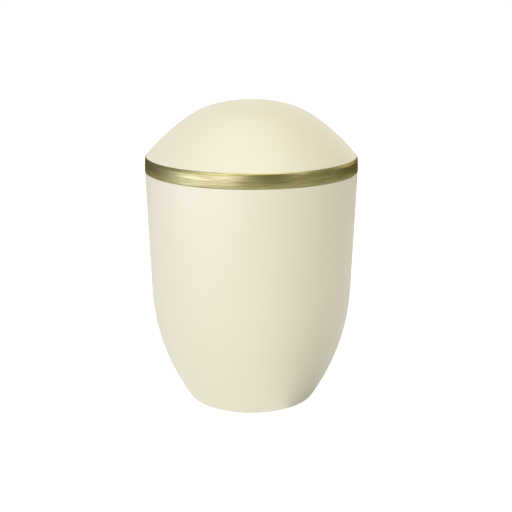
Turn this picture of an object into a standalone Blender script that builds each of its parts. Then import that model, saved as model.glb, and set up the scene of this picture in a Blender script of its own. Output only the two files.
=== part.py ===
"""Cremation urn: a tapered cream body, a domed lid that lifts off, and a brushed brass band round the lid.

Metres, +Z up. The urn stands on its foot ring with its axis on Z and the origin at the centre of the underside.
Every piece is turned: an outline of (radius, height) points in the XZ plane is spun round Z.
"""
import math

import bmesh
import bpy

# Body
BODY_HEIGHT = 0.2330          # underside to the seam below the lid
BASE_RADIUS = 0.0642          # underside, before its edge is rounded
SIDE_LEAN = 0.0085            # how far the side leans in between the seam and the underside
LEAN_POWER = 1.12             # above 1, so the lean starts gently below the seam
BOW_START = 0.5               # share of the body's height, from the seam down, where the side starts to bow in
BOW_POWER = 2.2               # how late the bow turns in
BASE_EDGE_ROUND = 0.0018
FOOT_RING_WIDTH = 0.0100
FOOT_RECESS = 0.0015          # hollow under the floor, inside the foot ring
FLOOR_THICKNESS = 0.0045
FLOOR_CORNER_ROUND = 0.0060
WALL = 0.0040                 # body and lid alike

# Lap joint between body and lid
COLLAR_HEIGHT = 0.0080        # the body's thin collar, which stands up inside the lid
COLLAR_THICKNESS = 0.0013
FIT_GAP = 0.0003              # between any two pieces
RIM_EDGE_ROUND = 0.0006

# Metal band, which lies in a rebate round the lid and bends in with it at the top
BAND_RADIUS = 0.1050          # outside of its lower edge, the widest place of the urn
BAND_HEIGHT = 0.0138
BAND_THICKNESS = 0.0010
BAND_PROUD = 0.0003           # the band stands out past the body's rim by this much
DOME_PROUD = 0.0002           # and past the dome above it by this much
RIM_LEAN = math.radians(2.0)  # lean of the band's straight part and of the lid's wall
BEND_RADIUS = 0.0072          # outside of the band's bent upper part
BEND_TURN = math.radians(25.0)

# Dome of the lid, as four arcs that run into each other
CROWN_RADIUS = 0.0392         # flat crown in the middle
KNUCKLE_WIDTH = 0.0169        # tighter ring round the crown
CROWN_TURN = math.radians(15.5)
KNUCKLE_TURN = math.radians(15.5)
FLANK_TURN = math.radians(19.2)
SHOULDER_ROUND = 0.0090

# Facets
TURNING_STEPS = 68
STRAIGHT_STEPS = 2
BOW_STEPS = 9
INSIDE_BOW_STEPS = 5
ARC_STEPS = 3
SMALL_ARC_STEPS = 2
FLANK_STEPS = 4

# Worked out from the sizes above
RIM_RADIUS = BAND_RADIUS - BAND_PROUD
SIDE_BOW = RIM_RADIUS - SIDE_LEAN - BASE_RADIUS
FLOOR_TOP = FOOT_RECESS + FLOOR_THICKNESS
COLLAR_INSIDE = RIM_RADIUS - WALL
COLLAR_OUTSIDE = COLLAR_INSIDE + COLLAR_THICKNESS
COLLAR_TOP = BODY_HEIGHT + COLLAR_HEIGHT
LID_FOOT = BODY_HEIGHT + FIT_GAP
LID_LAP_RADIUS = COLLAR_OUTSIDE + FIT_GAP
LID_STEP = COLLAR_TOP + FIT_GAP
REBATE = BAND_THICKNESS + FIT_GAP
LID_WALL = WALL + BAND_PROUD  # from the band's outside to the lid's inside, so it runs on from the collar
KNUCKLE_SLOPE = CROWN_TURN + KNUCKLE_TURN
FLANK_SLOPE = KNUCKLE_SLOPE + FLANK_TURN
RIM_SLOPE = math.pi / 2 - RIM_LEAN
BAND_TOP_SLOPE = RIM_SLOPE - BEND_TURN
LEDGE_SLOPE = BAND_TOP_SLOPE - FIT_GAP / (BEND_RADIUS - REBATE)
BEND_START = LID_FOOT + BAND_HEIGHT - BEND_RADIUS * (math.cos(BAND_TOP_SLOPE) - math.cos(RIM_SLOPE))
BEND_CENTRE = (
    BAND_RADIUS - (BEND_START - LID_FOOT) * math.tan(RIM_LEAN) - BEND_RADIUS * math.sin(RIM_SLOPE),
    BEND_START - BEND_RADIUS * math.cos(RIM_SLOPE),
)

CREAM = (0.86, 0.82, 0.68, 1.0)
BRASS = (0.60, 0.50, 0.29, 1.0)


def surface(name, colour, roughness, metallic):
    """A plain Principled surface."""
    material = bpy.data.materials.new(name)
    material.use_nodes = True
    shader = material.node_tree.nodes["Principled BSDF"]
    shader.inputs["Base Color"].default_value = colour
    shader.inputs["Roughness"].default_value = roughness
    shader.inputs["Metallic"].default_value = metallic
    material.diffuse_color = colour
    return material


def spaced(start, end, steps):
    """Evenly spaced numbers from start to end, both included."""
    return [start + (end - start) * i / steps for i in range(steps + 1)]


def rounded_corner(before, corner, after, radius, steps=ARC_STEPS):
    """The points of an arc that rounds off a corner between two straight runs."""
    back = [before[i] - corner[i] for i in range(2)]
    onward = [after[i] - corner[i] for i in range(2)]
    back_length = math.hypot(*back)
    onward_length = math.hypot(*onward)
    back = [value / back_length for value in back]
    onward = [value / onward_length for value in onward]
    half_angle = math.acos(back[0] * onward[0] + back[1] * onward[1]) / 2
    reach = min(radius / math.tan(half_angle), back_length / 2, onward_length / 2)
    to_centre = reach / math.cos(half_angle)
    middle = [back[i] + onward[i] for i in range(2)]
    middle_length = math.hypot(*middle)
    centre = [corner[i] + middle[i] / middle_length * to_centre for i in range(2)]
    start = [corner[i] + back[i] * reach - centre[i] for i in range(2)]
    end = [corner[i] + onward[i] * reach - centre[i] for i in range(2)]
    sweep = math.pi - 2 * half_angle
    points = []
    for share in spaced(0.0, 1.0, steps):
        near = math.sin((1 - share) * sweep) / math.sin(sweep)
        far = math.sin(share * sweep) / math.sin(sweep)
        points.append(tuple(centre[i] + near * start[i] + far * end[i] for i in range(2)))
    return points


def side_radius(height):
    """Outside of the body: an even lean, with a bow added over the lower part."""
    down = 1 - height / BODY_HEIGHT
    bowed = max(0.0, (down - BOW_START) / (1 - BOW_START))
    return RIM_RADIUS - SIDE_LEAN * down ** LEAN_POWER - SIDE_BOW * bowed ** BOW_POWER


def inside_radius(height):
    """Inside of the body, one wall thickness in from the outside, measured square to it."""
    step = BODY_HEIGHT / 1000
    slope = (side_radius(height) - side_radius(height - step)) / step
    return side_radius(height) - WALL * math.hypot(1, slope)


def bend_point(slope, inset):
    """A point of the bend at the band's top. The slope is 0 where the surface is level, the inset is from outside."""
    reach = BEND_RADIUS - inset
    return (BEND_CENTRE[0] + reach * math.sin(slope), BEND_CENTRE[1] + reach * math.cos(slope))


def band_side(inset, top_slope):
    """The band's outside, or a line set in from it: down the bend from a slope, then down the straight part."""
    points = [bend_point(slope, inset) for slope in spaced(top_slope, RIM_SLOPE, SMALL_ARC_STEPS)]
    points.append((BAND_RADIUS - inset / math.cos(RIM_LEAN), LID_FOOT))
    return points


def arc_down(start, arc_radius, slope_in, slope_out, inset, steps):
    """An arc of the dome from a start on its outside. Returns its points, set in, and its end on the outside."""
    centre = (start[0] - arc_radius * math.sin(slope_in), start[1] - arc_radius * math.cos(slope_in))
    reach = arc_radius - inset
    points = [
        (centre[0] + reach * math.sin(slope), centre[1] + reach * math.cos(slope))
        for slope in spaced(slope_in, slope_out, steps)[1:]
    ]
    end = (centre[0] + arc_radius * math.sin(slope_out), centre[1] + arc_radius * math.cos(slope_out))
    return points, end


def dome(inset, steps):
    """Outline of the dome from the axis to the end of its flank, set in by a wall thickness or by nothing."""
    ledge_corner = bend_point(LEDGE_SLOPE, DOME_PROUD)
    flank_end = ledge_corner[0] - SHOULDER_ROUND * (math.sin(LEDGE_SLOPE) - math.sin(FLANK_SLOPE))
    arcs = [
        (0.0, CROWN_RADIUS, 0.0, CROWN_TURN),
        (CROWN_RADIUS, CROWN_RADIUS + KNUCKLE_WIDTH, CROWN_TURN, KNUCKLE_SLOPE),
        (CROWN_RADIUS + KNUCKLE_WIDTH, flank_end, KNUCKLE_SLOPE, FLANK_SLOPE),
    ]
    radii = [(end - start) / (math.sin(out) - math.sin(into)) for start, end, into, out in arcs]
    flank_foot = ledge_corner[1] + SHOULDER_ROUND * (math.cos(FLANK_SLOPE) - math.cos(LEDGE_SLOPE))
    drops = [bend * (math.cos(into) - math.cos(out)) for bend, (_, _, into, out) in zip(radii, arcs)]
    place = (0.0, flank_foot + sum(drops))
    points = [(0.0, place[1] - inset)]
    for bend, (_, _, into, out), step_count in zip(radii, arcs, steps):
        arc, place = arc_down(place, bend, into, out, inset, step_count)
        points += arc
    return points, place


def lid_outside():
    """The lid's outside from the axis: dome, shoulder, the rebate's ledge, and the wall behind the band."""
    points, flank_end = dome(0.0, (ARC_STEPS, ARC_STEPS, FLANK_STEPS))
    shoulder, _ = arc_down(flank_end, SHOULDER_ROUND, FLANK_SLOPE, LEDGE_SLOPE, 0.0, SMALL_ARC_STEPS)
    return points + shoulder + band_side(REBATE, LEDGE_SLOPE)


def lid_inside():
    """The lid's inside from the axis: dome, one arc down to the wall, and the wall to the step of the lap joint."""
    points, _ = dome(WALL, (SMALL_ARC_STEPS, SMALL_ARC_STEPS, ARC_STEPS))
    flank_radius, flank_height = points[-1]
    lean = math.tan(RIM_LEAN)
    foot_radius = BAND_RADIUS - LID_WALL / math.cos(RIM_LEAN)
    widening = math.sin(RIM_SLOPE) - math.sin(FLANK_SLOPE)
    drop = math.cos(FLANK_SLOPE) - math.cos(RIM_SLOPE)
    wall_radius = foot_radius - (flank_height - LID_FOOT) * lean
    corner_round = (wall_radius - flank_radius) / (widening - drop * lean)
    arc, _ = arc_down(points[-1], corner_round, FLANK_SLOPE, RIM_SLOPE, 0.0, ARC_STEPS)
    return points + arc + [(foot_radius - (LID_STEP - LID_FOOT) * lean, LID_STEP)]


def turned(name, outline, material, closed=False):
    """Spins an outline once round Z. An open outline starts and ends on the axis."""
    shape = bmesh.new()
    points = [shape.verts.new((radius, 0.0, height)) for radius, height in outline]
    ends = points[1:] + points[:1] if closed else points[1:]
    edges = [shape.edges.new(pair) for pair in zip(points, ends)]
    bmesh.ops.spin(
        shape,
        geom=points + edges,
        cent=(0.0, 0.0, 0.0),
        axis=(0.0, 0.0, 1.0),
        angle=2 * math.pi,
        steps=TURNING_STEPS,
        use_merge=True,
        use_duplicate=False,
    )
    bmesh.ops.remove_doubles(shape, verts=shape.verts, dist=1e-6)
    bmesh.ops.recalc_face_normals(shape, faces=shape.faces)
    mesh = bpy.data.meshes.new(name)
    shape.to_mesh(mesh)
    shape.free()
    mesh.materials.append(material)
    mesh.shade_smooth()
    mesh.set_sharp_from_angle(angle=math.radians(30))
    piece = bpy.data.objects.new(name, mesh)
    bpy.context.scene.collection.objects.link(piece)
    return piece


def make_body(material):
    """The vessel: foot ring, bowed side, rim with its collar, inside wall and floor."""
    ring_inside = BASE_RADIUS - FOOT_RING_WIDTH
    straight_foot = BODY_HEIGHT * (1 - BOW_START)
    side = [(side_radius(z), z) for z in spaced(BASE_EDGE_ROUND * 2, straight_foot, BOW_STEPS)]
    side += [(side_radius(z), z) for z in spaced(straight_foot, BODY_HEIGHT, STRAIGHT_STEPS)[1:]]
    shelf = (COLLAR_OUTSIDE, BODY_HEIGHT)
    wall_foot = FLOOR_TOP + FLOOR_CORNER_ROUND * 2
    inside = [(inside_radius(z), z) for z in spaced(BODY_HEIGHT, straight_foot, STRAIGHT_STEPS)]
    inside += [(inside_radius(z), z) for z in spaced(straight_foot, wall_foot, INSIDE_BOW_STEPS)[1:]]
    floor_corner = (inside_radius(FLOOR_TOP), FLOOR_TOP)
    outline = [(0.0, FOOT_RECESS), (ring_inside - FOOT_RECESS, FOOT_RECESS), (ring_inside, 0.0)]
    outline += rounded_corner((ring_inside, 0.0), (side_radius(0.0), 0.0), side[0], BASE_EDGE_ROUND)
    outline += side[:-1]
    outline += rounded_corner(side[-2], side[-1], shelf, RIM_EDGE_ROUND)
    outline += [shelf, (COLLAR_OUTSIDE, COLLAR_TOP), (COLLAR_INSIDE, COLLAR_TOP)]
    outline += inside
    outline += rounded_corner(inside[-1], floor_corner, (0.0, FLOOR_TOP), FLOOR_CORNER_ROUND)
    outline.append((0.0, FLOOR_TOP))
    return turned("body", outline, material)


def make_lid(material):
    """The domed lid. The foot of its wall is thinned from inside, to lap over the body's collar."""
    outline = lid_outside()
    outline += [(LID_LAP_RADIUS, LID_FOOT), (LID_LAP_RADIUS, LID_STEP)]
    outline += reversed(lid_inside())
    return turned("lid", outline, material)


def make_band(material):
    """The metal band, a strip bent in at the top."""
    outline = band_side(0.0, BAND_TOP_SLOPE) + band_side(BAND_THICKNESS, BAND_TOP_SLOPE)[::-1]
    return turned("band", outline, material, closed=True)


def main():
    for old in list(bpy.data.objects):
        bpy.data.objects.remove(old, do_unlink=True)
    cream = surface("cream_lacquer", CREAM, roughness=0.45, metallic=0.0)
    brass = surface("brushed_brass", BRASS, roughness=0.35, metallic=1.0)
    make_body(cream)
    make_lid(cream)
    make_band(brass)


main()
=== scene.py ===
"""Looks of the cremation urn: satin cream lacquer, a brushed brass band and a pale studio.

Metres, +Z up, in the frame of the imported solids. The body, the lid and the band are turned again here from
fine outlines of (radius, height) points, with their edges eased, and stand in the place of the faceted solids.
"""
import math

import bpy
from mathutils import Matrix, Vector


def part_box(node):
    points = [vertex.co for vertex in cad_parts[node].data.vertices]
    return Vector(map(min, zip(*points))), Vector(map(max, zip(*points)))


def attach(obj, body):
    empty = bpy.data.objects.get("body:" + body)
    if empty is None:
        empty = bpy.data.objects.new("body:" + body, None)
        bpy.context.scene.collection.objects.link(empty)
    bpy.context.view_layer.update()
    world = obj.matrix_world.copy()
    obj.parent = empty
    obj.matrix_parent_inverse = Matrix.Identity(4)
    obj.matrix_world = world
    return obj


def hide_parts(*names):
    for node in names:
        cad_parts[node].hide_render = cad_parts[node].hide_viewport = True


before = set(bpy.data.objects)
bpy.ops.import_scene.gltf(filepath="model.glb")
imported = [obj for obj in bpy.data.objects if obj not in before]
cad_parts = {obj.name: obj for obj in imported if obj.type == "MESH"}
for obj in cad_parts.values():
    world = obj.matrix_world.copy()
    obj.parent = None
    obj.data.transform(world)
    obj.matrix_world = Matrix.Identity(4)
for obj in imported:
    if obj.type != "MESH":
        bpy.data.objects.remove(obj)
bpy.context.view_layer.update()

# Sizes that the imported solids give
FIT_GAP = 0.0003
LID_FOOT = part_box("lid")[0].z
BAND_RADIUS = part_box("band")[1].x
BAND_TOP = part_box("band")[1].z
BODY_HEIGHT = LID_FOOT - FIT_GAP
COLLAR_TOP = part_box("body")[1].z
LID_STEP = COLLAR_TOP + FIT_GAP

# The other sizes of the body, as it is made
BASE_RADIUS = 0.0642
BAND_PROUD = 0.0003
RIM_RADIUS = BAND_RADIUS - BAND_PROUD
SIDE_LEAN = 0.0085
LEAN_POWER = 1.12
SIDE_BOW = RIM_RADIUS - SIDE_LEAN - BASE_RADIUS
BOW_START = 0.5
BOW_POWER = 2.2
FOOT_RING_WIDTH = 0.0100
FOOT_RECESS = 0.0015
FLOOR_THICKNESS = 0.0045
FLOOR_TOP = FOOT_RECESS + FLOOR_THICKNESS
WALL = 0.0040
COLLAR_INSIDE = RIM_RADIUS - WALL
COLLAR_THICKNESS = 0.0013
COLLAR_OUTSIDE = COLLAR_INSIDE + COLLAR_THICKNESS
LID_LAP_RADIUS = COLLAR_OUTSIDE + FIT_GAP

# The band, bent in at its top, and the rebate that it lies in
BAND_THICKNESS = 0.0010
REBATE = BAND_THICKNESS + FIT_GAP
LID_WALL = BAND_RADIUS - COLLAR_INSIDE
DOME_PROUD = 0.0002
RIM_LEAN = math.radians(2.0)
RIM_SLOPE = math.pi / 2 - RIM_LEAN
BEND_RADIUS = 0.0072
BEND_TURN = math.radians(25.0)
BAND_TOP_SLOPE = RIM_SLOPE - BEND_TURN
LEDGE_SLOPE = BAND_TOP_SLOPE - FIT_GAP / (BEND_RADIUS - REBATE)
SEAT_GAP = 0.00004
SEATED_SLOPE = LEDGE_SLOPE + SEAT_GAP / (BEND_RADIUS - REBATE)
BEND_START = BAND_TOP - BEND_RADIUS * (math.cos(BAND_TOP_SLOPE) - math.cos(RIM_SLOPE))
BEND_CENTRE = Vector((
    BAND_RADIUS - (BEND_START - LID_FOOT) * math.tan(RIM_LEAN) - BEND_RADIUS * math.sin(RIM_SLOPE),
    BEND_START - BEND_RADIUS * math.cos(RIM_SLOPE)))

# The dome
CROWN_RADIUS = 0.0392
KNUCKLE_WIDTH = 0.0169
KNUCKLE_RADIUS = CROWN_RADIUS + KNUCKLE_WIDTH
CROWN_SLOPE = math.radians(15.5)
KNUCKLE_SLOPE = math.radians(31.0)
FLANK_SLOPE = math.radians(50.2)
SHOULDER_ROUND = 0.0090

# Eased edges
BASE_EDGE = 0.0018
RIM_EDGE = 0.0006
SMALL_EDGE = 0.0003
BAND_LOWER_EDGE = 0.0003
BAND_UPPER_EDGE = 0.0001
LEDGE_EDGE = 0.00012
FLOOR_CORNER = 0.0060

# Fineness of the turned meshes
STEPS_ROUND = 360
EDGE_STEPS = 5
RING_SPACING = 0.0030

# Camera, set at the photograph's angle
CAMERA_TARGET = Vector((0.0, 0.0, 0.147))
CAMERA_DISTANCE = 1.0233
CAMERA_ELEVATION = math.radians(14.95)
IMAGE_SIZE = 512
PIXELS_PER_METRE = 988.16
TARGET_PIXEL = (250.85, 252.25)
SENSOR_WIDTH = 36.0

# The studio: how far its white walls stand, its table, and the tints of its light
FAR_WALL = 8.0
TABLE_SIZE = 2.0
TABLE_TOP = -0.0005
WHITE = (1.0, 1.0, 1.0)
WARM = (1.06, 1.0, 0.92)
CLEAR = (0.98, 1.0, 1.08)
COOL = (0.97, 1.0, 1.55)
OLIVE = (1.20, 1.0, 0.30)


def spaced(start, end, steps):
    """Evenly spaced numbers from start to end, both included."""
    return [start + (end - start) * i / steps for i in range(steps + 1)]


def rounded_corner(before, corner, after, radius, steps=EDGE_STEPS):
    """The points of an arc that rounds off a corner between two straight runs."""
    corner = Vector(corner)
    back = (Vector(before) - corner).normalized()
    onward = (Vector(after) - corner).normalized()
    half_angle = back.angle(onward) / 2
    reach = radius / math.tan(half_angle)
    centre = corner + (back + onward).normalized() * (reach / math.cos(half_angle))
    start = corner + back * reach - centre
    end = corner + onward * reach - centre
    sweep = math.pi - 2 * half_angle
    points = []
    for share in spaced(0.0, 1.0, steps):
        near = math.sin((1 - share) * sweep) / math.sin(sweep)
        far = math.sin(share * sweep) / math.sin(sweep)
        points.append(tuple(centre + start * near + end * far))
    return points


def eased(corners):
    """An outline through corners (radius, height, rounding), each rounded off where a rounding is given."""
    points = []
    for i, (radius, height, rounding) in enumerate(corners):
        if rounding:
            before = corners[i - 1][:2]
            after = corners[(i + 1) % len(corners)][:2]
            points += rounded_corner(before, (radius, height), after, rounding)
        else:
            points.append((radius, height))
    return points


def side_radius(height):
    """Outside of the body: an even lean, with a bow added over the lower part."""
    down = 1 - height / BODY_HEIGHT
    bowed = max(0.0, (down - BOW_START) / (1 - BOW_START))
    return RIM_RADIUS - SIDE_LEAN * down ** LEAN_POWER - SIDE_BOW * bowed ** BOW_POWER


def inside_radius(height):
    """Inside of the body, one wall thickness in from the outside, measured square to it."""
    step = BODY_HEIGHT / 1000
    slope = (side_radius(height) - side_radius(height - step)) / step
    return side_radius(height) - WALL * math.hypot(1, slope)


def run(radius_at, start, end):
    """Points along a side of the body from one height to another."""
    steps = max(1, round(abs(end - start) / RING_SPACING))
    return [(radius_at(z), z) for z in spaced(start, end, steps)]


def body_outline():
    """The body from the centre of its underside, out and up the side, over the rim and down inside."""
    ring_inside = BASE_RADIUS - FOOT_RING_WIDTH
    side_foot = BASE_EDGE * 2
    wall_foot = FLOOR_TOP + FLOOR_CORNER * 2
    outline = [(0.0, FOOT_RECESS), (ring_inside * 0.5, FOOT_RECESS)]
    outline += eased([
        (ring_inside * 0.5, FOOT_RECESS, 0),
        (ring_inside - FOOT_RECESS, FOOT_RECESS, SMALL_EDGE),
        (ring_inside, 0.0, SMALL_EDGE),
        (BASE_RADIUS, 0.0, 0),
    ])[1:-1]
    outline += rounded_corner(
        (ring_inside, 0.0), (side_radius(0.0), 0.0), (side_radius(side_foot), side_foot), BASE_EDGE)
    outline += run(side_radius, side_foot, BODY_HEIGHT - RING_SPACING)
    outline += rounded_corner(
        (side_radius(BODY_HEIGHT - RING_SPACING), BODY_HEIGHT - RING_SPACING),
        (RIM_RADIUS, BODY_HEIGHT), (COLLAR_OUTSIDE, BODY_HEIGHT), RIM_EDGE)
    outline += eased([
        (RIM_RADIUS, BODY_HEIGHT, 0),
        (COLLAR_OUTSIDE, BODY_HEIGHT, SMALL_EDGE),
        (COLLAR_OUTSIDE, COLLAR_TOP, SMALL_EDGE),
        (COLLAR_INSIDE, COLLAR_TOP, SMALL_EDGE),
        (COLLAR_INSIDE, BODY_HEIGHT, 0),
    ])[1:-1]
    inside_from = len(outline) - 1
    outline += run(inside_radius, BODY_HEIGHT, wall_foot)
    outline += rounded_corner(
        (inside_radius(wall_foot), wall_foot), (inside_radius(FLOOR_TOP), FLOOR_TOP),
        (0.0, FLOOR_TOP), FLOOR_CORNER, EDGE_STEPS * 3)
    outline += [(inside_radius(FLOOR_TOP) * 0.5, FLOOR_TOP), (0.0, FLOOR_TOP)]
    return outline, inside_from


def bend_point(slope, inset):
    """A point of the bend at the band's top, set in from its outside. Slope 0 is where the surface is level."""
    return tuple(BEND_CENTRE + Vector((math.sin(slope), math.cos(slope))) * (BEND_RADIUS - inset))


def band_side(inset, top_slope):
    """The band's outside, or a line set in from it, from the foot up to a slope of the bend."""
    points = [(BAND_RADIUS - inset / math.cos(RIM_LEAN), LID_FOOT)]
    return points + [bend_point(slope, inset) for slope in spaced(RIM_SLOPE, top_slope, EDGE_STEPS * 2)]


def arc_down(start, bend, slope_in, slope_out, inset):
    """An arc of the dome from a start on its outside: its points, set in, and its end on the outside."""
    centre = Vector(start) - Vector((math.sin(slope_in), math.cos(slope_in))) * bend
    steps = max(EDGE_STEPS + 3, round(bend * (slope_out - slope_in) / RING_SPACING * 1.4))
    points = [
        tuple(centre + Vector((math.sin(slope), math.cos(slope))) * (bend - inset))
        for slope in spaced(slope_in, slope_out, steps)[1:]
    ]
    return points, centre + Vector((math.sin(slope_out), math.cos(slope_out))) * bend


def dome(inset):
    """The dome from the axis to the foot of its flank, set in by a wall thickness or by nothing."""
    ledge_radius, ledge_height = bend_point(LEDGE_SLOPE, DOME_PROUD)
    flank_end = ledge_radius - SHOULDER_ROUND * (math.sin(LEDGE_SLOPE) - math.sin(FLANK_SLOPE))
    flank_foot = ledge_height + SHOULDER_ROUND * (math.cos(FLANK_SLOPE) - math.cos(LEDGE_SLOPE))
    arcs = [
        (0.0, CROWN_RADIUS, 0.0, CROWN_SLOPE),
        (CROWN_RADIUS, KNUCKLE_RADIUS, CROWN_SLOPE, KNUCKLE_SLOPE),
        (KNUCKLE_RADIUS, flank_end, KNUCKLE_SLOPE, FLANK_SLOPE),
    ]
    bends = [(end - start) / (math.sin(out) - math.sin(into)) for start, end, into, out in arcs]
    place = (0.0, flank_foot + sum(
        bend * (math.cos(into) - math.cos(out)) for bend, (_, _, into, out) in zip(bends, arcs)))
    points = [(0.0, place[1] - inset)]
    for bend, (_, _, into, out) in zip(bends, arcs):
        arc, place = arc_down(place, bend, into, out, inset)
        points += arc
    return points, place


def lid_inside():
    """The lid's inside from the axis: dome, one arc down to the wall, and the wall to the step of the lap joint."""
    points, _ = dome(WALL)
    flank_radius, flank_height = points[-1]
    lean = math.tan(RIM_LEAN)
    foot_radius = BAND_RADIUS - LID_WALL / math.cos(RIM_LEAN)
    wall_radius = foot_radius - (flank_height - LID_FOOT) * lean
    widening = math.sin(RIM_SLOPE) - math.sin(FLANK_SLOPE)
    drop = math.cos(FLANK_SLOPE) - math.cos(RIM_SLOPE)
    arc, _ = arc_down(
        points[-1], (wall_radius - flank_radius) / (widening - drop * lean), FLANK_SLOPE, RIM_SLOPE, 0.0)
    return points + arc + [(foot_radius - (LID_STEP - LID_FOOT) * lean, LID_STEP)]


def lid_outline():
    """The lid from the top of its inside, down and round its foot, and up over the outside."""
    inner = lid_inside()
    outer, flank_foot = dome(0.0)
    shoulder, _ = arc_down(flank_foot, SHOULDER_ROUND, FLANK_SLOPE, LEDGE_SLOPE, 0.0)
    wall = band_side(REBATE, LEDGE_SLOPE)
    outline = inner[:-1]
    outline += eased([
        (*inner[-2], 0),
        (*inner[-1], SMALL_EDGE),
        (LID_LAP_RADIUS, LID_STEP, SMALL_EDGE),
        (LID_LAP_RADIUS, LID_FOOT, SMALL_EDGE),
        (*wall[0], SMALL_EDGE),
        (*wall[1], 0),
    ])[1:-1]
    outline += wall[1:]
    outline += rounded_corner(wall[-1], shoulder[-1], shoulder[-3], LEDGE_EDGE)
    outline += shoulder[-3::-1]
    return outline + outer[::-1], len(inner) - 1


def band_outline():
    """The section of the band, a closed loop, its four edges eased. It sits closer under the ledge than FIT_GAP."""
    outer = band_side(0.0, SEATED_SLOPE)
    inner = band_side(BAND_THICKNESS, SEATED_SLOPE)[::-1]
    section = rounded_corner(inner[-1], outer[0], outer[1], BAND_LOWER_EDGE)
    section += outer[1:-1]
    section += rounded_corner(outer[-2], outer[-1], inner[0], BAND_UPPER_EDGE)
    section += rounded_corner(outer[-1], inner[0], inner[1], SMALL_EDGE / 2)
    section += inner[2:-1]
    section += rounded_corner(inner[-2], inner[-1], outer[0], SMALL_EDGE)
    return section + section[:1]


def socket_names(group):
    """The identifiers of a node group's inputs, by their names."""
    return {
        item.name: item.identifier
        for item in group.interface.items_tree
        if item.item_type == "SOCKET" and item.in_out == "INPUT"
    }


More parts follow.
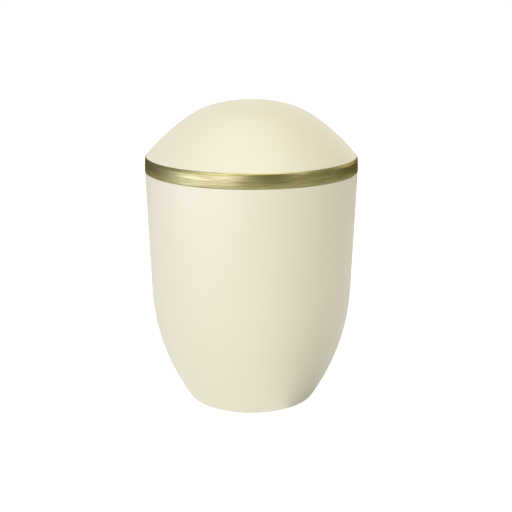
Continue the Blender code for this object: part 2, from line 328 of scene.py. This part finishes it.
def turning_tree():
    """Geometry nodes that turn an outline's points once round Z, one ring of faces between two points."""
    group = bpy.data.node_groups.new("turned_outline", "GeometryNodeTree")
    interface = group.interface
    interface.new_socket("Outline", in_out="INPUT", socket_type="NodeSocketGeometry")
    interface.new_socket("Steps Round", in_out="INPUT", socket_type="NodeSocketInt")
    interface.new_socket("Inside From Ring", in_out="INPUT", socket_type="NodeSocketInt")
    interface.new_socket("Inside To Ring", in_out="INPUT", socket_type="NodeSocketInt")
    interface.new_socket("Outside Finish", in_out="INPUT", socket_type="NodeSocketMaterial")
    interface.new_socket("Inside Finish", in_out="INPUT", socket_type="NodeSocketMaterial")
    interface.new_socket("Turned", in_out="OUTPUT", socket_type="NodeSocketGeometry")
    nodes = group.nodes
    link = group.links.new

    def node(kind, **settings):
        made = nodes.new(kind)
        for name, value in settings.items():
            setattr(made, name, value)
        return made

    def maths(operation, first, second=None):
        made = node("ShaderNodeMath", operation=operation)
        for socket, value in zip(made.inputs, (first, second)):
            if isinstance(value, bpy.types.NodeSocket):
                link(value, socket)
            elif value is not None:
                socket.default_value = value
        return made.outputs[0]

    given = node("NodeGroupInput")
    result = node("NodeGroupOutput")
    count = node("GeometryNodeAttributeDomainSize", component="MESH")
    link(given.outputs["Outline"], count.inputs[0])
    grid = node("GeometryNodeMeshGrid")
    grid.inputs["Size X"].default_value = 1.0
    grid.inputs["Size Y"].default_value = 1.0
    link(maths("ADD", given.outputs["Steps Round"], 1.0), grid.inputs["Vertices X"])
    link(count.outputs["Point Count"], grid.inputs["Vertices Y"])

    place = node("ShaderNodeSeparateXYZ")
    link(node("GeometryNodeInputPosition").outputs[0], place.inputs[0])
    turn = maths("MULTIPLY", maths("ADD", place.outputs["X"], 0.5), 2 * math.pi)
    last_ring = maths("SUBTRACT", count.outputs["Point Count"], 1.0)
    ring = maths("ROUND", maths("MULTIPLY", maths("ADD", place.outputs["Y"], 0.5), last_ring))

    sample = node("GeometryNodeSampleIndex", data_type="FLOAT_VECTOR", domain="POINT")
    link(given.outputs["Outline"], sample.inputs["Geometry"])
    link(node("GeometryNodeInputPosition").outputs[0], sample.inputs["Value"])
    link(ring, sample.inputs["Index"])
    point = node("ShaderNodeSeparateXYZ")
    link(sample.outputs["Value"], point.inputs[0])
    turned_place = node("ShaderNodeCombineXYZ")
    link(maths("MULTIPLY", point.outputs["X"], maths("COSINE", turn)), turned_place.inputs["X"])
    link(maths("MULTIPLY", point.outputs["X"], maths("SINE", turn)), turned_place.inputs["Y"])
    link(point.outputs["Z"], turned_place.inputs["Z"])

    face_ring = maths("MULTIPLY", maths("ADD", place.outputs["Y"], 0.5), last_ring)
    past_start = node("FunctionNodeCompare", data_type="FLOAT", operation="GREATER_THAN")
    link(face_ring, past_start.inputs["A"])
    link(given.outputs["Inside From Ring"], past_start.inputs["B"])
    before_end = node("FunctionNodeCompare", data_type="FLOAT", operation="LESS_THAN")
    link(face_ring, before_end.inputs["A"])
    link(given.outputs["Inside To Ring"], before_end.inputs["B"])
    inside = node("FunctionNodeBooleanMath", operation="AND")
    link(past_start.outputs[0], inside.inputs[0])
    link(before_end.outputs[0], inside.inputs[1])

    keep_uv = node("GeometryNodeStoreNamedAttribute", data_type="FLOAT2", domain="CORNER")
    keep_uv.inputs["Name"].default_value = "UVMap"
    link(grid.outputs["Mesh"], keep_uv.inputs["Geometry"])
    link(grid.outputs["UV Map"], keep_uv.inputs["Value"])
    keep_inside = node("GeometryNodeStoreNamedAttribute", data_type="BOOLEAN", domain="FACE")
    keep_inside.inputs["Name"].default_value = "inside"
    link(keep_uv.outputs[0], keep_inside.inputs["Geometry"])
    link(inside.outputs[0], keep_inside.inputs["Value"])
    shape = node("GeometryNodeSetPosition")
    link(keep_inside.outputs[0], shape.inputs["Geometry"])
    link(turned_place.outputs[0], shape.inputs["Position"])
    closed = node("GeometryNodeMergeByDistance")
    closed.inputs["Distance"].default_value = 1e-6
    link(shape.outputs[0], closed.inputs["Geometry"])
    smooth = node("GeometryNodeSetShadeSmooth")
    link(closed.outputs[0], smooth.inputs["Geometry"])
    realized = node("GeometryNodeRealizeInstances")
    link(smooth.outputs[0], realized.inputs["Geometry"])
    is_inside = node("GeometryNodeInputNamedAttribute", data_type="BOOLEAN")
    is_inside.inputs["Name"].default_value = "inside"
    finish = node("GeometryNodeSetMaterial")
    link(realized.outputs[0], finish.inputs["Geometry"])
    link(given.outputs["Outside Finish"], finish.inputs["Material"])
    inner_finish = node("GeometryNodeSetMaterial")
    link(finish.outputs[0], inner_finish.inputs["Geometry"])
    link(is_inside.outputs[0], inner_finish.inputs["Selection"])
    link(given.outputs["Inside Finish"], inner_finish.inputs["Material"])
    link(inner_finish.outputs[0], result.inputs[0])
    return group


def turned(name, tree, outline, finish, inside_finish=None, inside_rings=(0, 0)):
    """A plain mesh object turned from an outline by the node tree."""
    mesh = bpy.data.meshes.new(name + "_outline")
    mesh.from_pydata([(radius, 0.0, height) for radius, height in outline], [], [])
    maker = bpy.data.objects.new(name + "_outline", mesh)
    bpy.context.scene.collection.objects.link(maker)
    turning = maker.modifiers.new("turning", "NODES")
    turning.node_group = tree
    names = socket_names(tree)
    turning[names["Steps Round"]] = STEPS_ROUND
    turning[names["Inside From Ring"]] = inside_rings[0]
    turning[names["Inside To Ring"]] = inside_rings[1]
    turning[names["Outside Finish"]] = finish
    turning[names["Inside Finish"]] = inside_finish or finish
    depsgraph = bpy.context.evaluated_depsgraph_get()
    result = bpy.data.meshes.new_from_object(maker.evaluated_get(depsgraph), depsgraph=depsgraph)
    result.name = name
    bpy.data.objects.remove(maker)
    bpy.data.meshes.remove(mesh)
    piece = bpy.data.objects.new(name, result)
    bpy.context.scene.collection.objects.link(piece)
    return piece


def new_material(name):
    """A material with its shader, a function that adds nodes and a function that links them."""
    material = bpy.data.materials.new(name)
    material.use_nodes = True
    tree = material.node_tree

    def node(kind, inputs=None, **settings):
        made = tree.nodes.new(kind)
        for key, value in settings.items():
            setattr(made, key, value)
        for key, value in (inputs or {}).items():
            if isinstance(value, bpy.types.NodeSocket):
                tree.links.new(value, made.inputs[key])
            else:
                made.inputs[key].default_value = value
        return made

    return material, tree.nodes["Principled BSDF"], node, tree.links.new


def blend(node, share, low, high):
    """A colour between two colours."""
    mixed = node("ShaderNodeMix", {"Factor": share}, data_type="RGBA")
    mixed.inputs[6].default_value = low
    mixed.inputs[7].default_value = high
    return mixed.outputs[2]


def cream_lacquer():
    """Satin cream lacquer with a faint orange-peel skin."""
    material, shader, node, link = new_material("cream_lacquer")
    place = node("ShaderNodeTexCoord").outputs["Object"]
    cloud = node("ShaderNodeTexNoise", {"Vector": place, "Scale": 14.0, "Detail": 2.0})
    tone = blend(node, cloud.outputs["Fac"], (0.900, 0.854, 0.652, 1.0), (0.885, 0.840, 0.644, 1.0))
    link(tone, shader.inputs["Base Color"])
    peel = node("ShaderNodeTexNoise", {"Vector": place, "Scale": 900.0, "Detail": 1.5, "Roughness": 0.4})
    gloss = node("ShaderNodeMapRange", {"Value": cloud.outputs["Fac"], "To Min": 0.37, "To Max": 0.43})
    link(gloss.outputs["Result"], shader.inputs["Roughness"])
    relief = node("ShaderNodeBump", {"Height": peel.outputs["Fac"], "Strength": 0.05, "Distance": 0.0002})
    link(relief.outputs["Normal"], shader.inputs["Normal"])
    shader.inputs["Specular IOR Level"].default_value = 0.6
    return material


def raw_shell():
    """The unlacquered inside: a matt moulded shell with fine flecks."""
    material, shader, node, link = new_material("raw_shell")
    place = node("ShaderNodeTexCoord").outputs["Object"]
    fleck = node("ShaderNodeTexNoise", {"Vector": place, "Scale": 420.0, "Detail": 3.0})
    tone = blend(node, fleck.outputs["Fac"], (0.60, 0.54, 0.41, 1.0), (0.72, 0.66, 0.52, 1.0))
    link(tone, shader.inputs["Base Color"])
    shader.inputs["Roughness"].default_value = 0.75
    relief = node("ShaderNodeBump", {"Height": fleck.outputs["Fac"], "Strength": 0.2, "Distance": 0.0003})
    link(relief.outputs["Normal"], shader.inputs["Normal"])
    return material


def brushed_brass():
    """Pale brass brushed round its length: long streaks, short scratches and hairs in colour, gloss and relief."""
    material, shader, node, link = new_material("brushed_brass")
    place = node("ShaderNodeTexCoord").outputs["Object"]

    def grain(across, along, detail):
        stretched = node("ShaderNodeMapping", {"Vector": place, "Scale": (along, along, across)})
        return node("ShaderNodeTexNoise", {
            "Vector": stretched.outputs[0], "Scale": 1.0, "Detail": detail, "Roughness": 0.6}).outputs["Fac"]

    streaks = grain(across=560.0, along=16.0, detail=2.0)
    scratches = grain(across=1300.0, along=60.0, detail=2.0)
    hairs = grain(across=6500.0, along=120.0, detail=3.0)
    coarse = node("ShaderNodeMix", {"Factor": 0.6, "A": streaks, "B": scratches})
    both = node("ShaderNodeMix", {"Factor": 0.25, "A": coarse.outputs["Result"], "B": hairs})
    strong = node("ShaderNodeMapRange", {
        "Value": both.outputs["Result"], "From Min": 0.34, "From Max": 0.65})
    tone = blend(node, strong.outputs["Result"], (0.33, 0.275, 0.070, 1.0), (0.70, 0.66, 0.33, 1.0))
    link(tone, shader.inputs["Base Color"])
    gloss = node("ShaderNodeMapRange", {
        "Value": strong.outputs["Result"], "To Min": 0.38, "To Max": 0.27})
    link(gloss.outputs["Result"], shader.inputs["Roughness"])
    relief = node("ShaderNodeBump", {
        "Height": both.outputs["Result"], "Strength": 0.35, "Distance": 0.0001})
    link(relief.outputs["Normal"], shader.inputs["Normal"])
    along = node("ShaderNodeTangent", direction_type="UV_MAP", uv_map="UVMap")
    link(along.outputs[0], shader.inputs["Tangent"])
    shader.inputs["Metallic"].default_value = 1.0
    shader.inputs["Anisotropic"].default_value = 0.7
    shader.inputs["Specular Tint"].default_value = (0.12, 0.10, 0.04, 1.0)
    return material


def make_urn():
    """The three pieces, each in the place of its solid."""
    tree = turning_tree()
    lacquer = cream_lacquer()
    shell = raw_shell()
    outline, inside_from = body_outline()
    body = turned("urn_body", tree, outline, lacquer, shell, (inside_from, len(outline)))
    outline, inside_to = lid_outline()
    lid = turned("urn_lid", tree, outline, lacquer, shell, (0, inside_to))
    band = turned("urn_band", tree, band_outline(), brushed_brass())
    for piece, node, slot in (
        (body, "body", "cream_lacquer"),
        (lid, "lid", "cream_lacquer"),
        (band, "band", "brushed_brass"),
    ):
        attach(piece, "root")
        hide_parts(node)


def make_card(name, place, turn, size, material):
    """A flat rectangle, staged: it belongs to the studio, not to the urn."""
    half_x, half_y = size[0] / 2, size[1] / 2
    mesh = bpy.data.meshes.new(name)
    mesh.from_pydata(
        [(-half_x, -half_y, 0.0), (half_x, -half_y, 0.0), (half_x, half_y, 0.0), (-half_x, half_y, 0.0)],
        [], [(0, 1, 2, 3)])
    mesh.materials.append(material)
    card = bpy.data.objects.new(name, mesh)
    bpy.context.scene.collection.objects.link(card)
    card.location = place
    card.rotation_euler = turn
    return card


def plain_material(name, colour, glow=0.0, tint=WHITE):
    """A matt material of one colour, with light of its own where glow is given."""
    material, shader, _, _ = new_material(name)
    shader.inputs["Base Color"].default_value = (*colour, 1.0)
    shader.inputs["Roughness"].default_value = 0.9
    shader.inputs["Specular IOR Level"].default_value = 0.2
    shader.inputs["Emission Color"].default_value = (*tint, 1.0)
    shader.inputs["Emission Strength"].default_value = glow
    return material


def glowing_card(name, glow, tint=WHITE):
    """A card's material that shows one even tone, whatever light falls on it."""
    return plain_material(name, (0.0, 0.0, 0.0), glow, tint)


def make_floor():
    """A white floor and far white walls for the camera, and a table whose softer light falls on the urn."""
    paint = plain_material("white_floor", (0.3, 0.3, 0.3), 1.0)
    white = [make_card("floor", (0, 0, 0), (0, 0, 0), (FAR_WALL * 2, FAR_WALL * 2), paint)]
    for azimuth in (0, 90, 180, 270):
        turn = (math.radians(90), 0, math.radians(azimuth))
        place = towards_studio(azimuth, 0) * FAR_WALL
        white.append(make_card(f"wall_{azimuth}", place, turn, (FAR_WALL * 2, FAR_WALL), paint))
    for card in white:
        card.visible_diffuse = False
        card.visible_glossy = False
        card.visible_shadow = False
    table = make_card(
        "table", (0, 0, TABLE_TOP), (0, 0, 0), (TABLE_SIZE, TABLE_SIZE), glowing_card("table_top", 0.90))
    table.visible_camera = False


def towards_studio(azimuth, elevation):
    """The direction from the urn to a lamp or card. Azimuth 0 is behind the camera, plus is to its right."""
    azimuth = math.radians(azimuth)
    elevation = math.radians(elevation)
    return Vector((
        math.sin(azimuth) * math.cos(elevation), -math.cos(azimuth) * math.cos(elevation), math.sin(elevation)))


def soft_box(name, azimuth, elevation, distance, size, radiance, tint=WHITE):
    """A softbox that faces the middle of the urn."""
    light = bpy.data.lights.new(name, "AREA")
    light.shape = "RECTANGLE"
    light.size = size[0]
    light.size_y = size[1]
    light.energy = radiance * math.pi * size[0] * size[1]
    light.color = tint
    lamp = bpy.data.objects.new(name, light)
    bpy.context.scene.collection.objects.link(lamp)
    towards = towards_studio(azimuth, elevation)
    lamp.location = CAMERA_TARGET + towards * distance
    lamp.rotation_euler = towards.to_track_quat("Z", "Y").to_euler()
    lamp.visible_camera = False


def standing_card(name, azimuth, distance, width, low, high, glow, tint=WHITE):
    """An upright card round the urn, from one height to another, that shows the urn an even tone."""
    place = towards_studio(azimuth, 0) * distance
    place.z = (low + high) / 2
    turn = (math.radians(90), 0, math.radians(azimuth))
    card = make_card(name, place, turn, (width, high - low), glowing_card(name, glow, tint))
    card.visible_camera = False


def floor_sector(name, azimuth, half_turn, near, far, height, glow, tint=WHITE):
    """A flat sector of a ring round the urn, from one distance to another, that shows the urn an even tone."""
    turns = spaced(azimuth - half_turn, azimuth + half_turn, 12)
    points = [towards_studio(turn, 0) * far for turn in turns[::-1]]
    points += [towards_studio(turn, 0) * near for turn in turns]
    mesh = bpy.data.meshes.new(name)
    mesh.from_pydata([tuple(point) for point in points], [], [tuple(range(len(points)))])
    mesh.materials.append(glowing_card(name, glow, tint))
    sector = bpy.data.objects.new(name, mesh)
    bpy.context.scene.collection.objects.link(sector)
    sector.location.z = height
    sector.visible_camera = False


def make_light():
    """Softboxes at the front, right, left, top and back, a lit floor at the left, and light and dark cards."""
    world = bpy.data.worlds.new("studio")
    bpy.context.scene.world = world
    world.use_nodes = True
    sky = world.node_tree.nodes["Background"]
    sky.inputs["Color"].default_value = (*WARM, 1.0)
    sky.inputs["Strength"].default_value = 0.25
    soft_box("front_panel", azimuth=0, elevation=30, distance=2.0, size=(1.90, 2.8), radiance=1.46)
    soft_box("right_panel", azimuth=38, elevation=30, distance=2.0, size=(1.45, 2.8), radiance=1.14)
    soft_box("key", azimuth=-48, elevation=21, distance=1.8, size=(1.35, 0.92), radiance=1.42, tint=CLEAR)
    soft_box("top", azimuth=0, elevation=89, distance=1.6, size=(1.6, 1.6), radiance=0.78)
    soft_box("backdrop", azimuth=180, elevation=22, distance=1.9, size=(3.2, 1.40), radiance=0.72, tint=WARM)
    floor_sector("lit_floor", azimuth=-49, half_turn=31, near=1.0, far=6.0, height=-0.0006, glow=2.40, tint=COOL)
    standing_card("low_card", azimuth=18, distance=1.3, width=1.25, low=-0.10, high=1.05, glow=0.08, tint=OLIVE)
    standing_card("side_card", azimuth=132, distance=1.4, width=1.50, low=0.14, high=0.66, glow=1.25, tint=WARM)
    standing_card("low_right_card", azimuth=140, distance=1.42, width=2.0, low=-0.20, high=0.12, glow=0.02)
    standing_card("low_left_card", azimuth=-140, distance=1.42, width=1.6, low=-0.20, high=0.12, glow=0.02)
    floor_sector("dark_card", azimuth=57, half_turn=23, near=0.066, far=1.0, height=-0.0002, glow=0.44)
    bpy.context.scene.view_settings.view_transform = "Standard"
    bpy.context.scene.view_settings.look = "None"


def make_camera():
    """The camera, with its shift putting the urn where the photograph has it."""
    data = bpy.data.cameras.new("camera")
    data.sensor_width = SENSOR_WIDTH
    data.lens = SENSOR_WIDTH * PIXELS_PER_METRE * CAMERA_DISTANCE / IMAGE_SIZE
    middle = (IMAGE_SIZE - 1) / 2
    data.shift_x = (middle - TARGET_PIXEL[0]) / IMAGE_SIZE
    data.shift_y = (TARGET_PIXEL[1] - middle) / IMAGE_SIZE
    camera = bpy.data.objects.new("camera", data)
    bpy.context.scene.collection.objects.link(camera)
    towards = Vector((0.0, -math.cos(CAMERA_ELEVATION), math.sin(CAMERA_ELEVATION)))
    camera.location = CAMERA_TARGET + towards * CAMERA_DISTANCE
    camera.rotation_euler = towards.to_track_quat("Z", "Y").to_euler()
    bpy.context.scene.camera = camera


make_camera()
make_light()
make_floor()
make_urn()
